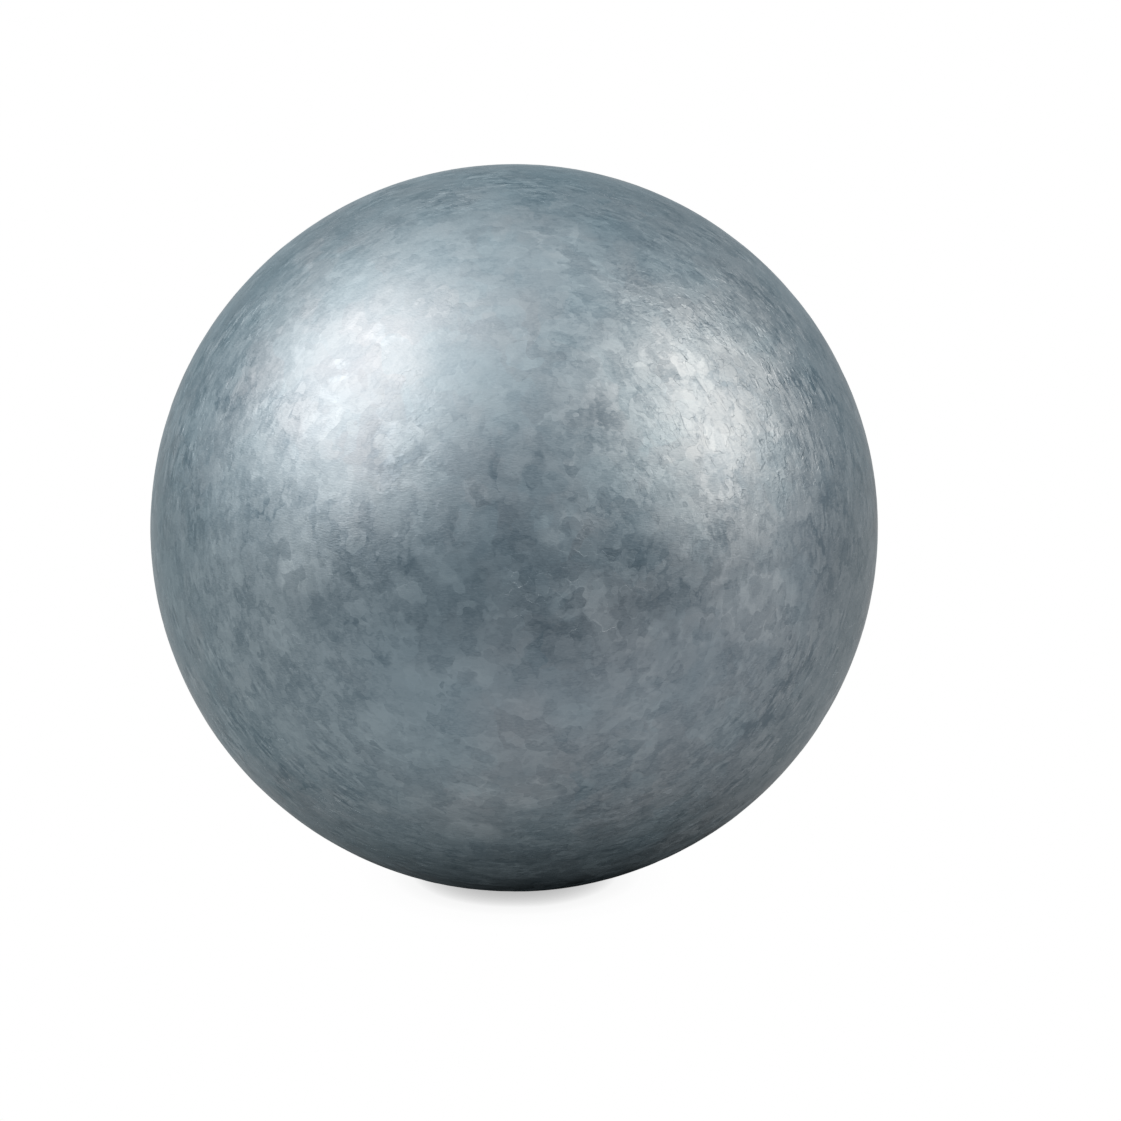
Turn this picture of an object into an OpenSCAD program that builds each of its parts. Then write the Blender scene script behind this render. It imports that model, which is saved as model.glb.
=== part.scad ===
// Solid steel ball.
// One piece, turned about its own centre: the origin is the ball's centre and +Z is up.

/* [Ball] */
// Diameter of the ball, in mm
ball_d = 50; // [10:1:150]

/* [Hidden] */

// Facets round the equator where the ball is drawn as a mesh
equator_facets = 144;

steel_blue_grey = [0.46, 0.51, 0.54];

// The whole ball: a true sphere, solid through, with no flat, bore or seam.
module ball() {
    color(steel_blue_grey)
        sphere(d = ball_d, $fn = equator_facets);
}

ball();
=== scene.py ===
import math

import bmesh
import bpy
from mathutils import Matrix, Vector


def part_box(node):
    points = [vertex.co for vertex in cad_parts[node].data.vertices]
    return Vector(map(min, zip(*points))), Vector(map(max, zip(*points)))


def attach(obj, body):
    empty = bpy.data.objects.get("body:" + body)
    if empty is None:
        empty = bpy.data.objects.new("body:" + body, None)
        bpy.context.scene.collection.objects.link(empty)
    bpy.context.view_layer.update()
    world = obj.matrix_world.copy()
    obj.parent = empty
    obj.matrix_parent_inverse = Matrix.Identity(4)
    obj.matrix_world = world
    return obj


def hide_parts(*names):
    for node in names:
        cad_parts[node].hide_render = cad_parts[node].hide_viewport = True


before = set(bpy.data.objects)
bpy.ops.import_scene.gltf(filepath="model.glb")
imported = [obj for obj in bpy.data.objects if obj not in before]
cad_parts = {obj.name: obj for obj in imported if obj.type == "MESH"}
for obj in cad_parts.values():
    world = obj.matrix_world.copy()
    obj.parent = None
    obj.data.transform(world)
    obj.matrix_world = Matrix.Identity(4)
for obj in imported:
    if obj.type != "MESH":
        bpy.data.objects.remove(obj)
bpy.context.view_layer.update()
ballLow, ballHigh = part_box("ball")
ballRadius = (ballHigh.z - ballLow.z) / 2
radiusInMm = ballRadius * 1000
print("frame loaded, ball radius in mm:", round(radiusInMm, 3))


class Wire:  # one socket of a node tree, so that a pattern reads as sums of wires and numbers
    def __init__(self, tree, socket=None):
        self.tree = tree
        self.socket = socket

    def node(self, kind, settings=None, inputs=None, out=0):  # any node: settings first, then its sockets
        made = self.tree.nodes.new(kind)
        for name, value in (settings or {}).items():
            setattr(made, name, value)
        for name, value in (inputs or {}).items():
            if isinstance(value, Wire):
                self.tree.links.new(value.socket, made.inputs[name])
            else:
                made.inputs[name].default_value = value
        return Wire(self.tree, made.outputs[out]) if len(made.outputs) else made

    def also(self, out):  # another output of the same node
        return Wire(self.tree, self.socket.node.outputs[out])

    def maths(self, operation, first, second=0.0):
        return self.node("ShaderNodeMath", {"operation": operation}, {0: first, 1: second})

    def __add__(self, other):
        return self.maths("ADD", self, other)

    __radd__ = __add__

    def __sub__(self, other):
        return self.maths("SUBTRACT", self, other)

    def __rsub__(self, other):
        return self.maths("SUBTRACT", other, self)

    def __mul__(self, other):
        return self.maths("MULTIPLY", self, other)

    __rmul__ = __mul__

    def __pow__(self, other):
        return self.maths("POWER", self, other)

    def size(self):  # the value without its sign
        return self.maths("ABSOLUTE", self)

    def least(self, other):
        return self.maths("MINIMUM", self, other)

    def shift(self, offset):  # vector sum
        return self.node("ShaderNodeVectorMath", {"operation": "ADD"}, {0: self, 1: offset})

    def stretch(self, factors):  # vector product, part by part
        return self.node("ShaderNodeVectorMath", {"operation": "MULTIPLY"}, {0: self, 1: factors})

    def grow(self, factor):
        return self.node("ShaderNodeVectorMath", {"operation": "SCALE"}, {0: self, "Scale": factor})

    def outward(self):  # the same direction, one unit long
        return self.node("ShaderNodeVectorMath", {"operation": "NORMALIZE"}, {0: self})

    def along(self, direction):  # how far a vector reaches along a direction
        settings = {"operation": "DOT_PRODUCT"}
        return self.node("ShaderNodeVectorMath", settings, {0: self, 1: direction}, "Value")

    def push(self, direction, reach):  # moved along a fixed direction by a wire
        step = self.node("ShaderNodeVectorMath", {"operation": "SCALE"}, {0: direction, "Scale": reach})
        return self.shift(step)

    def length(self):
        return self.node("ShaderNodeVectorMath", {"operation": "LENGTH"}, {0: self}, "Value")

    def part(self, axis):
        return self.node("ShaderNodeSeparateXYZ", None, {0: self}, axis)

    def ease(self, start, stop, low=0.0, high=1.0):  # a smooth step from low at start to high at stop
        ends = {"Value": self, "From Min": start, "From Max": stop, "To Min": low, "To Max": high}
        return self.node("ShaderNodeMapRange", {"interpolation_type": "SMOOTHSTEP"}, ends)

    def blend(self, first, second):  # colours, mixed by this wire
        return self.node("ShaderNodeMix", {"data_type": "RGBA"}, {0: self, 6: first, 7: second}, 2)

    def tinted(self, colour):
        settings = {"data_type": "RGBA", "blend_type": "MULTIPLY"}
        return self.node("ShaderNodeMix", settings, {0: 1.0, 6: self, 7: colour}, 2)

    def noise(self, grain, detail, rough, moved, out):  # grain in mm; moved takes another part of the noise
        inputs = {"Vector": self.shift(moved), "Scale": 1 / grain, "Detail": detail, "Roughness": rough}
        return self.node("ShaderNodeTexNoise", {"noise_dimensions": "3D"}, inputs, out)

    def cloud(self, grain, detail=2.0, rough=0.5, moved=(0, 0, 0)):  # noise around zero
        return self.noise(grain, detail, rough, moved, "Fac") - 0.5

    def bend(self, grain, reach, detail=2.0, moved=(0, 0, 0)):  # the place, pushed about by noise
        push = self.noise(grain, detail, 0.5, moved, "Color")
        return self.shift(push.shift((-0.5, -0.5, -0.5)).grow(reach))


def towards(azimuth, elevation):  # unit vector: azimuth 0 is the camera's side, 90 is to the right
    turn = math.radians(azimuth)
    rise = math.radians(elevation)
    return Vector((math.sin(turn) * math.cos(rise), -math.cos(turn) * math.cos(rise), math.sin(rise)))


ballLooks = {
    "front": (0, 12),        # the fine creases run in rings round this side
    "cells": 128,            # squares along the edge of each of the six grids that make the ball
    "waveSize": 9.0,         # mm, length of the slow waves in the skin
    "waveDepth": 0.030,      # mm
    "flakeBend": 1.3,        # how far the outline of a flake wanders, in flake sizes
    "flakeDepth": 0.006,     # mm, step at the edge of a large flake
    "edgeDepth": 0.011,      # mm, step at the edge of a small flake
    "stainBend": 2.6,        # mm, how far the outline of a stain wanders
    "stainEdge": 0.25,       # softness of that outline, as a share of its half length
    "creaseSize": 1.3,       # mm
    "creaseDepth": 0.005,    # mm
    "creasePaintedHighlight": 0.10,     # painted highlight on the raised side and painted shade in the sunk side of a crease
    "creasePaintedShade": 0.11,
    "crackDark": 0.12,       # tone of the line round a flake
    "grainSize": 0.26,       # mm
    "grainDepth": 0.008,     # mm
    "toneSpan": 0.62,        # a tone of so much below and above zero gives the two skin colours
    "darkSkin": (0.1012, 0.1430, 0.1740, 1),
    "lightSkin": (0.2453, 0.3074, 0.3450, 1),
    "leftHue": (0.918, 1.0, 1.026, 1),
    "rightHue": (1.05, 1.0, 0.99, 1),
    "hueByFlake": 0.25,      # how much the hue changes from flake to flake
    "edgeTint": (0.50, 0.57, 0.60, 1),   # how much of the bright rim the steel keeps
    "roughness": 0.42,
    "roughByTone": 0.12,     # light skin is rougher
    "roughByFlake": 0.10,
    "wornZone": {"at": (-32, 38), "reach": 42, "depth": 0.34},   # smoother skin with fainter flakes
}

# Zones of fine creases: azimuth and elevation in degrees, reach in degrees, and how strong they are
creasedZones = [
    {"at": (42, 30), "reach": 30, "depth": 1.0},
    {"at": (-44, -26), "reach": 34, "depth": 0.6},
    {"at": (46, -26), "reach": 34, "depth": 0.55},
]

# Zones of bluer skin
coolZones = [
    {"at": (-30, -5), "reach": 34, "depth": 0.50},
    {"at": (0, 24), "reach": 26, "depth": 0.22},
    {"at": (4, 64), "reach": 36, "depth": 0.30},
    {"at": (2, -66), "reach": 42, "depth": 0.60},
]

# The skin's patches: flakes of scale that lie over each other, from large to small. Size is in mm, cover
# says how far a flake reaches over its cell, and keep is the share of the tone below that shows through
flakes = [
    {"size": 6.0, "cover": 0.70, "tone": 0.17, "keep": 0.50, "tilt": 0.020},
    {"size": 3.8, "cover": 0.52, "tone": 0.18, "keep": 0.35, "tilt": 0.022},
    {"size": 2.5, "cover": 0.50, "tone": 0.20, "keep": 0.35, "tilt": 0.040},
    {"size": 1.6, "cover": 0.36, "tone": 0.20, "keep": 0.45, "tilt": 0.040},
    {"size": 1.0, "cover": 0.26, "tone": 0.15, "keep": 0.60, "tilt": 0.040},
    {"size": 0.6, "cover": 0.20, "tone": 0.13, "keep": 0.80, "tilt": 0.040},
]
largeFlakes = 3   # so many of them are cut into the mesh and lie below the stains

# Single stains: azimuth and elevation on the ball in degrees (azimuth 0 faces the camera, 90 is to the
# right), half length and half width in mm, lean of the long side (0, 45, 90 or -45 degrees) and tone
stains = [
    (-21, 7, 4.0, 1.6, 0, -0.34), (-28, 0, 3.0, 1.6, -45, -0.22), (-11, -1, 3.0, 1.5, 0, -0.18),
    (22, 5, 3.0, 1.8, -45, -0.28), (13, 34, 2.0, 1.5, 0, 0.22), (10, 40, 2.4, 1.2, 90, -0.22),
    (0, 21, 1.6, 1.4, 0, -0.34), (-15, 23, 1.5, 1.2, 0, 0.24), (14, 51, 2.4, 1.4, 0, 0.22),
    (-51, -21, 4.5, 1.2, -45, -0.22), (-44, -33, 2.6, 1.4, 0, -0.30), (-40, 7, 2.8, 1.5, 90, -0.34),
    (43, -18, 3.0, 2.2, 0, -0.32), (-8, -39, 1.8, 1.3, 0, 0.55), (-5, -29, 1.8, 1.1, 0, 0.42),
    (3, -30, 1.6, 1.2, 0, 0.42), (19, -17, 3.8, 1.2, 90, 0.22), (6, -4, 1.6, 1.4, 0, -0.24),
    (-19, -20, 2.6, 2.0, 0, 0.24), (-10, -10, 2.8, 1.2, 0, 0.18), (-10, 7, 1.8, 1.4, 0, 0.34),
    (38, -2, 3.2, 2.4, 0, 0.42), (16, -3, 2.4, 1.6, 0, 0.42), (-23, -8, 3.0, 1.8, 90, -0.34),
    (-35, 12, 3.0, 1.6, 0, -0.40), (12, 26, 1.6, 1.4, 0, -0.36), (14, -31, 2.2, 1.6, 0, -0.42),
    (42, -47, 4.6, 1.6, 45, 0.54), (18, -54, 4.4, 1.6, 0, 0.34), (-4, -51, 2.0, 1.2, 0, 0.50),
    (27, 23, 1.8, 1.4, 0, 0.50), (9, 2, 1.8, 1.5, 0, 0.50), (35, 15, 2.2, 1.4, 0, -0.20),
    (49, 60, 2.6, 1.4, -45, 0.34), (55, 6, 3.6, 2.4, 90, -0.50), (-38, 26, 2.8, 2.0, 0, -0.44),
    (56, 64, 3.0, 1.6, -45, -0.20), (-60, -21, 2.6, 1.6, 90, 0.24), (26, 37, 2.2, 1.6, 0, 0.36),
    (6, 57, 3.4, 1.4, 0, 0.20), (28, -3, 2.0, 1.4, 0, 0.38), (-32, 4, 1.8, 1.4, 0, 0.48),
    (-55, 28, 2.6, 1.8, 0, -0.54), (33, 19, 1.6, 1.2, 0, -0.28), (-56, 9, 2.4, 1.4, 90, -0.40),
    (-19, 22, 2.0, 1.5, 0, -0.42), (50, 34, 2.4, 1.4, 90, 0.30), (22, 11, 1.8, 1.2, -45, 0.24),
    (28, 5, 1.6, 1.3, 0, 0.24), (50, 45, 2.2, 1.6, 0, 0.24), (-41, 11, 1.5, 1.2, 0, 0.22),
    (16, 14, 2.2, 1.4, 0, -0.28), (40, 32, 2.0, 1.6, 0, -0.36), (-24, 12, 2.0, 1.6, 0, -0.42),
    # The last two ovals darken the ball low down, near where it sits on the floor.
    (-38, -12, 2.0, 1.6, 0, -0.22), (8, 11, 2.0, 1.5, 0, 0.32), (8, -59, 2.2, 1.2, 0, -0.30),
    (-20, -58, 2.4, 1.2, 0, -0.26),
]


def ringed(place, factor, aside):  # patterns at this place run in rings round the front of the ball
    front = towards(*ballLooks["front"])
    height = place.along(front)
    return place.push(front, height * (height.size() * (factor / radiusInMm) + (aside - 1.0)))


def nearness(place, zone):  # 1 at the middle of a zone, easing to 0 at its reach
    edge = math.cos(math.radians(zone["reach"]))
    return place.outward().along(towards(*zone["at"])).ease(edge, 1.0)


def layStains(place, tone):  # an oval for each stain, whose outline is bent by noise
    bent = place.bend(1.8, ballLooks["stainBend"], 2.0, (12, 7, 3))
    softEdge = ballLooks["stainEdge"]
    half = math.sqrt(0.5)
    turned = [(half, 0, half), (0, 1, 0), (-half, 0, half)]   # the ball's axes turned by 45 degrees
    turnedParts = {number: bent.along(axis) for number, axis in enumerate(turned)}
    slanted = bent.node("ShaderNodeCombineXYZ", None, turnedParts)
    for azimuth, elevation, length, width, lean, own in stains:
        middle = towards(azimuth, elevation) * radiusInMm
        if lean % 90:
            middle = Vector([middle.dot(axis) for axis in turned])
        narrow = Vector((1, 1, length / width)) if lean in (0, 45) else Vector((length / width, 1, 1))
        lying = slanted if lean % 90 else bent
        near = lying.node("ShaderNodeVectorMath", {"operation": "MULTIPLY_ADD"},
                          {0: lying, 1: narrow, 2: middle * narrow * -1})
        tone = tone + near.length().ease(length * (1 + softEdge), length * (1 - softEdge), 0.0, own)
    return tone


def layFlakes(place, zone, rim):  # place is in mm; returns the tone of the skin, its tilt and the layers
    tone = place.cloud(7.0, 3.0, 0.55) * 0.5
    tilt = place.grow(0.0)
    softness = place.cloud(2.0, 1.0, 0.5, (31, 4, 8)).ease(-0.08, 0.12, 0.02, 0.12)
    softness = softness * zone.ease(0.0, 1.2, 1.0, 0.5)
    drawnOut = ringed(place, 0.6, 1.0)
    calm = rim.ease(0.75, 0.35, 1.0, 0.6)   # fainter towards the rim
    fine = zone.ease(0.0, 1.0, 0.5, 1.0)    # stronger in a creased zone
    layers = []
    for number, flake in enumerate(flakes):
        small = number >= largeFlakes
        if number == largeFlakes:
            tone = layStains(place, tone)
        size = flake["size"]
        detail = 1.5 if number <= largeFlakes else 0.5
        lying = drawnOut if small else place
        reach = size * ballLooks["flakeBend"]
        bent = lying.bend(size / 1.5, reach, detail, (7 * number, 3 * number, -5 * number))
        inputs = {"Vector": bent.shift((17 * number, -9 * number, 5 * number)), "Scale": 1 / size}
        cell = place.node("ShaderNodeTexVoronoi", {"feature": "F1"}, inputs, "Distance")
        chance = cell.also("Color")
        inside = chance.part(1) * 0.5 + flake["cover"] - cell
        mask = inside.ease(softness * -1.0, softness)
        own = (chance.part(0) - 0.5) * (2 * flake["tone"])
        if small:
            own = own * calm
        if number > largeFlakes:
            own = own * fine
        tone = tone + (own - tone * (1 - flake["keep"])) * mask
        steep = zone + 1.0 if small else 1.0
        leaning = chance.shift((-0.5, -0.5, -0.5)).grow(steep * flake["tilt"])
        tilt = tilt.shift(leaning.shift(tilt.grow(-1.0)).grow(mask))
        layers.append({"mask": mask, "chance": chance})
    return tone, tilt, layers


def makeBallMesh():  # six square grids blown up into a sphere, with one cell of the UV map for each
    grids = bmesh.new()
    bmesh.ops.create_cube(grids, size=2)
    for halving in range(int(math.log2(ballLooks["cells"]))):
        bmesh.ops.subdivide_edges(grids, edges=grids.edges, cuts=1, use_grid_fill=True)
    flat = grids.loops.layers.uv.new("OFBake")
    margin = 0.004
    for face in grids.faces:
        middle = face.calc_center_median()
        axis = max(range(3), key=lambda number: abs(middle[number]))
        column = axis
        row = int(middle[axis] > 0)
        for loop in face.loops:
            across, up = [value for number, value in enumerate(loop.vert.co) if number != axis]
            loop[flat].uv = ((column + margin + (1 - 2 * margin) * (across + 1) / 2) / 3,
                             (row + margin + (1 - 2 * margin) * (up + 1) / 2) / 2)
        face.smooth = True
    for vert in grids.verts:
        even = Vector([math.tan(value * math.pi / 4) for value in vert.co])   # cells of about one size
        vert.co = even.normalized() * ballRadius
    mesh = bpy.data.meshes.new("steelBall")
    grids.to_mesh(mesh)
    grids.free()
    return mesh


def raiseRelief(ball):  # slow waves and the edges of the larger flakes, cut into the mesh itself
    tree = bpy.data.node_groups.new("skinRelief", "GeometryNodeTree")
    tree.interface.new_socket("Geometry", in_out="INPUT", socket_type="NodeSocketGeometry")
    tree.interface.new_socket("Geometry", in_out="OUTPUT", socket_type="NodeSocketGeometry")
    start = Wire(tree)
    shell = start.node("NodeGroupInput")
    place = start.node("GeometryNodeInputPosition").grow(1000)
    nothing = place.part(0) * 0.0   # the large flakes are the same in every zone
    layers = layFlakes(place, nothing, nothing + 1.0)[2]
    waves = place.cloud(ballLooks["waveSize"], 2.0, 0.5, (3, 14, 15)) * 2 * ballLooks["waveDepth"]
    steps = sum(layer["mask"] * (layer["chance"].part(2) - 0.5) for layer in layers[:largeFlakes]) * 2
    depth = waves + steps * ballLooks["flakeDepth"] - 2 * ballLooks["waveDepth"]
    moved = start.node("GeometryNodeSetPosition", None,
                       {"Geometry": shell, "Offset": place.outward().grow(depth * 0.001)})
    start.node("NodeGroupOutput", None, {"Geometry": moved})
    change = ball.modifiers.new("relief", "NODES")
    change.node_group = tree
    solved = ball.evaluated_get(bpy.context.evaluated_depsgraph_get())
    ball.data = bpy.data.meshes.new_from_object(solved)
    ball.modifiers.clear()


def mottledSteel():
    material = bpy.data.materials.new("mottledSteel")
    material.use_nodes = True
    tree = material.node_tree
    shader = tree.nodes["Principled BSDF"]
    start = Wire(tree)
    place = start.node("ShaderNodeTexCoord", None, None, "Object").grow(1000)
    rim = place.along(towards(*ballLooks["front"])).size() * (1 / radiusInMm)   # 1 in front, 0 at the side
    zone = rim.ease(0.75, 0.35, 0.0, 0.7) + place.cloud(8.0, 1.0, 0.5, (70, 1, 2)).ease(-0.02, 0.12, 0.1, 0.5)
    zone = sum((nearness(place, spot) * spot["depth"] for spot in creasedZones), zone)
    tone, tilt, layers = layFlakes(place, zone, rim)
    medium = layers[largeFlakes - 1]
    small = layers[largeFlakes]

    # fine grain, drawn out sideways, strongest where the skin is dark
    grain = place.stretch((1, 1, 3)).cloud(ballLooks["grainSize"], 1.0, 0.65)
    tone = tone + grain * (tone.ease(-0.10, 0.10, 0.40, 0.10) + zone * 0.2)
    # fine creases in rings round the front, in some of the flakes, strongest away from the front
    wave = ringed(place, 3.2, 0.5).cloud(ballLooks["creaseSize"], 1.0, 0.5)
    # cut marks the groove of a crease: real relief in the height, and also where painted shade darkens the
    # tone; the side beside it gets a painted highlight
    cut = wave.ease(0.045, 0.075)
    paintedHighlightLine = wave.ease(-0.045, -0.075)
    some = place.cloud(2.4, 1.0, 0.6, (41, 5, 9)).ease(0.0, 0.09, 0.15, 1.15) * zone
    edges = sum(layer["mask"] * (layer["chance"].part(2) - 0.5) for layer in layers[largeFlakes:-1]) * 2.0
    height = edges * zone * (some * 0.5 + zone) * ballLooks["edgeDepth"]
    height = height - cut * some * ballLooks["creaseDepth"] + grain * ballLooks["grainDepth"]
    # painted shading of the creases: a painted highlight on the raised side and painted shade in the groove
    creases = paintedHighlightLine * ballLooks["creasePaintedHighlight"] - cut * ballLooks["creasePaintedShade"]
    tone = tone + creases * some * rim.ease(0.8, 0.45, 0.6, 2.0)
    cracks = sum(layer["mask"] * (1.0 - layer["mask"]) for layer in (medium, small)) * 4
    tone = tone - cracks * some * ballLooks["crackDark"]
    worn = nearness(place, ballLooks["wornZone"]) * ballLooks["wornZone"]["depth"]
    shown = tone * (1.0 - worn) * rim.ease(0.7, 0.3, 1.0, 0.78)

    # the hue drifts from cool on the left to warm on the right, and a little from flake to flake
    side = place.part(0) * (0.5 / radiusInMm) + place.cloud(5.0, 2.0, 0.5, (5, 50, 5))
    for layer in layers[1:largeFlakes]:
        side = side + (layer["chance"].part(2) - 0.5) * layer["mask"] * ballLooks["hueByFlake"]
    for spot in coolZones:
        side = side - nearness(place, spot) * spot["depth"]
    hue = side.ease(-0.7, 0.5).blend(ballLooks["leftHue"], ballLooks["rightHue"])
    span = ballLooks["toneSpan"]
    colour = shown.ease(-span, span).blend(ballLooks["darkSkin"], ballLooks["lightSkin"]).tinted(hue)

    uneven = (medium["chance"].part(1) - 0.5) * medium["mask"] * ballLooks["roughByFlake"]
    rough = ballLooks["roughness"] + tone * ballLooks["roughByTone"] + uneven

    facing = start.node("ShaderNodeNewGeometry", None, None, "Normal").shift(tilt).outward()
    bump = place.node("ShaderNodeBump", None,
                      {"Strength": 1.0, "Distance": 0.001, "Height": height, "Normal": facing}, "Normal")

    shader.inputs["Metallic"].default_value = 1.0
    shader.inputs["Specular Tint"].default_value = ballLooks["edgeTint"]
    tree.links.new(colour.socket, shader.inputs["Base Color"])
    tree.links.new(rough.socket, shader.inputs["Roughness"])
    tree.links.new(bump.socket, shader.inputs["Normal"])
    return material


def makeBall():
    ball = bpy.data.objects.new("steelBall", makeBallMesh())
    bpy.context.scene.collection.objects.link(ball)
    bpy.context.view_layer.update()
    raiseRelief(ball)
    print("relief raised, faces:", len(ball.data.polygons))
    ball.data.materials.clear()
    ball.data.materials.append(mottledSteel())
    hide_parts("ball")
    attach(ball, "root")


cameraLooks = {
    "rise": 12,                # degrees above level
    "lens": 85,                # mm
    "sensor": 36,              # mm
    "frameWide": 1121,         # pixels
    "ballAt": (515.0, 528.4),  # pixel of the ball's centre, from the top left corner
    "ballAcross": 729.0,       # pixels
}


def placeCamera():
    camera = bpy.data.objects.new("camera", bpy.data.cameras.new("camera"))
    bpy.context.scene.collection.objects.link(camera)
    camera.data.lens = cameraLooks["lens"]
    camera.data.sensor_width = cameraLooks["sensor"]
    focal = cameraLooks["lens"] / cameraLooks["sensor"] * cameraLooks["frameWide"]   # in pixels
    distance = ballRadius / math.sin(math.atan(cameraLooks["ballAcross"] / 2 / focal))
    camera.location = towards(0, cameraLooks["rise"]) * distance
    centre = cameraLooks["frameWide"] / 2
    across, down = cameraLooks["ballAt"]
    seenAt = Vector((across - centre, centre - down, -focal))
    facing = (-camera.location).to_track_quat("-Z", "Y")
    camera.rotation_mode = "QUATERNION"
    camera.rotation_quaternion = facing @ seenAt.rotation_difference(Vector((0, 0, -1)))
    camera.data.clip_start = ballRadius / 10
    camera.data.clip_end = ballRadius * 400
    bpy.context.scene.camera = camera


# Two lamps: where they hang and how far they reach to each side of that, in degrees, how they are rolled
# about their own middle, and how bright they look, where 1 is a white card
lampAway = 14   # radii of the ball
softboxes = {
    "leftSoftbox": {"at": (-68, 38), "half": (21, 30), "roll": 55, "glow": 2.36, "colour": (1.42, 1.0, 0.85)},
    "rightSoftbox": {"at": (73, 34), "half": (23, 21), "roll": 47, "glow": 3.27, "colour": (1.25, 1.0, 0.84)},
}


def hangSoftbox(name, box):
    lamp = bpy.data.lights.new(name, "AREA")
    away = ballRadius * lampAway
    lamp.shape = "RECTANGLE"
    lamp.size = 2 * away * math.tan(math.radians(box["half"][0]))
    lamp.size_y = 2 * away * math.tan(math.radians(box["half"][1]))
    lamp.energy = box["glow"] * math.pi * lamp.size * lamp.size_y
    lamp.color = box["colour"]
    holder = bpy.data.objects.new(name, lamp)
    bpy.context.scene.collection.objects.link(holder)
    direction = towards(*box["at"])
    holder.location = direction * away
    holder.rotation_euler = direction.to_track_quat("Z", "Y").to_euler()
    holder.rotation_euler.rotate_axis("Z", math.radians(box["roll"]))
    holder.visible_camera = False


# The room round the ball, a white one with a broad glow and a dimmer side; places and spreads in degrees
roomLooks = {
    "glow": {"at": (-67, 51), "spread": 39, "strength": 3.0, "colour": (1.25, 1.0, 0.88)},
    "front": {"at": (-23, -1.5), "spread": 58, "dark": (0.738, 0.68, 0.642)},   # red, green and blue
    "back": {"at": (150, 25), "spread": 50, "dark": 0.07},
}


def paintRoom():
    world = bpy.data.worlds.new("room")
    bpy.context.scene.world = world
    world.use_nodes = True
    tree = world.node_tree
    start = Wire(tree)
    looking = start.node("ShaderNodeTexCoord", None, None, "Generated")

    def lobe(patch):  # 1 in its middle, falling off as a bell
        angle = start.maths("ARCCOSINE", looking.along(towards(*patch["at"])).least(0.99999))
        return start.maths("EXPONENT", (angle * (1 / math.radians(patch["spread"]))) ** 2 * -1.0)

    glow = lobe(roomLooks["glow"]) * roomLooks["glow"]["strength"]
    dim = lobe(roomLooks["front"])
    back = 1.0 - lobe(roomLooks["back"]) * roomLooks["back"]["dark"]
    room = {}
    for number, (tint, dark) in enumerate(zip(roomLooks["glow"]["colour"], roomLooks["front"]["dark"])):
        room[number] = (tint * glow + 1.0) * (1.0 - dim * dark) * back
    # plain white to the camera and through glass; the steel mirrors the white room with its glow and dim side
    ray = start.node("ShaderNodeLightPath", None, None, "Is Camera Ray")
    seen = ray + ray.also("Is Transmission Ray")
    colour = seen.blend(start.node("ShaderNodeCombineXYZ", None, room), (1, 1, 1, 1))
    tree.links.new(colour.socket, tree.nodes["Background"].inputs["Color"])


floorLooks = {
    "reach": 60,                           # radii of the ball
    "paper": (0.9, 0.9, 0.9, 1),
    "mirrored": 0.95,                      # how bright the floor looks in the ball
    "frontTint": (1.03, 1.0, 1.0, 1),
    "backTint": (1.15, 1.0, 0.93, 1),
    "contact": {0.045: 0.45, 0.065: 0.12, 0.1: 0.03},   # share of the shadow for each reach in radii
}


def layFloor():
    disc = bmesh.new()
    bmesh.ops.create_circle(disc, cap_ends=True, radius=ballRadius * floorLooks["reach"], segments=64)
    bmesh.ops.translate(disc, verts=disc.verts, vec=(0, 0, -ballRadius))
    mesh = bpy.data.meshes.new("floor")
    disc.to_mesh(mesh)
    disc.free()
    floor = bpy.data.objects.new("floor", mesh)
    bpy.context.scene.collection.objects.link(floor)
    material = bpy.data.materials.new("whiteFloor")
    material.use_nodes = True
    tree = material.node_tree
    tree.nodes.remove(tree.nodes["Principled BSDF"])
    start = Wire(tree)
    place = start.node("ShaderNodeTexCoord", None, None, "Object").grow(1 / ballRadius)
    ray = start.node("ShaderNodeLightPath", None, None, "Is Camera Ray")
    mirror = ray.also("Is Glossy Ray") + ray.also("Is Transmission Ray")

    def openness(reach):  # 1 where nothing stands over the floor within a reach in radii
        inputs = {"Distance": ballRadius * reach}
        return start.node("ShaderNodeAmbientOcclusion", {"samples": 8}, inputs, "AO")

    def card(colour):  # paper that looks equally bright from everywhere
        return start.node("ShaderNodeEmission", None, {"Color": colour, "Strength": 1.0})

    contact = floorLooks["contact"]
    shown = sum((openness(reach) * share for reach, share in contact.items()), 1.0 - sum(contact.values()))
    # Painted shade on the floor as the ball mirrors it: darker towards the front, and darker to the right,
    # with the darkening round the ball's foot shifted to the right, as painted shade of the ball from the
    # left lamp.
    front = place.part(1).ease(-4.0, -2.0, 0.48, 1.0)
    side = place.part(0).ease(-3.0, 3.0, 1.04, 0.95)
    # the share of the room that the ball hides from a point of the floor, seen in the ball's own mirror
    away = place.shift((-0.12, 0, 1)).length()
    hidden = (away * away + 1.0) ** -1.5
    mirrored = (1.0 - hidden).ease(0.07, 0.88) * front * side * floorLooks["mirrored"]
    further = (place.part(1) - place.part(0) * 0.4).ease(-3.2, 0.2)
    warmth = further.blend(floorLooks["frontTint"], floorLooks["backTint"])
    paper = start.node("ShaderNodeBsdfDiffuse", None, {"Color": floorLooks["paper"]})
    reflected = start.node("ShaderNodeMixShader", None, {0: mirror, 1: paper, 2: card(warmth.grow(mirrored))})
    mixed = start.node("ShaderNodeMixShader", None, {0: ray, 1: reflected, 2: card(shown)})
    tree.links.new(mixed.socket, tree.nodes["Material Output"].inputs["Surface"])
    mesh.materials.append(material)


placeCamera()
print("camera placed")
makeBall()
print("ball made")
paintRoom()
layFloor()
for name, box in softboxes.items():
    hangSoftbox(name, box)
print("studio set")

bpy.context.scene.view_settings.view_transform = "Standard"
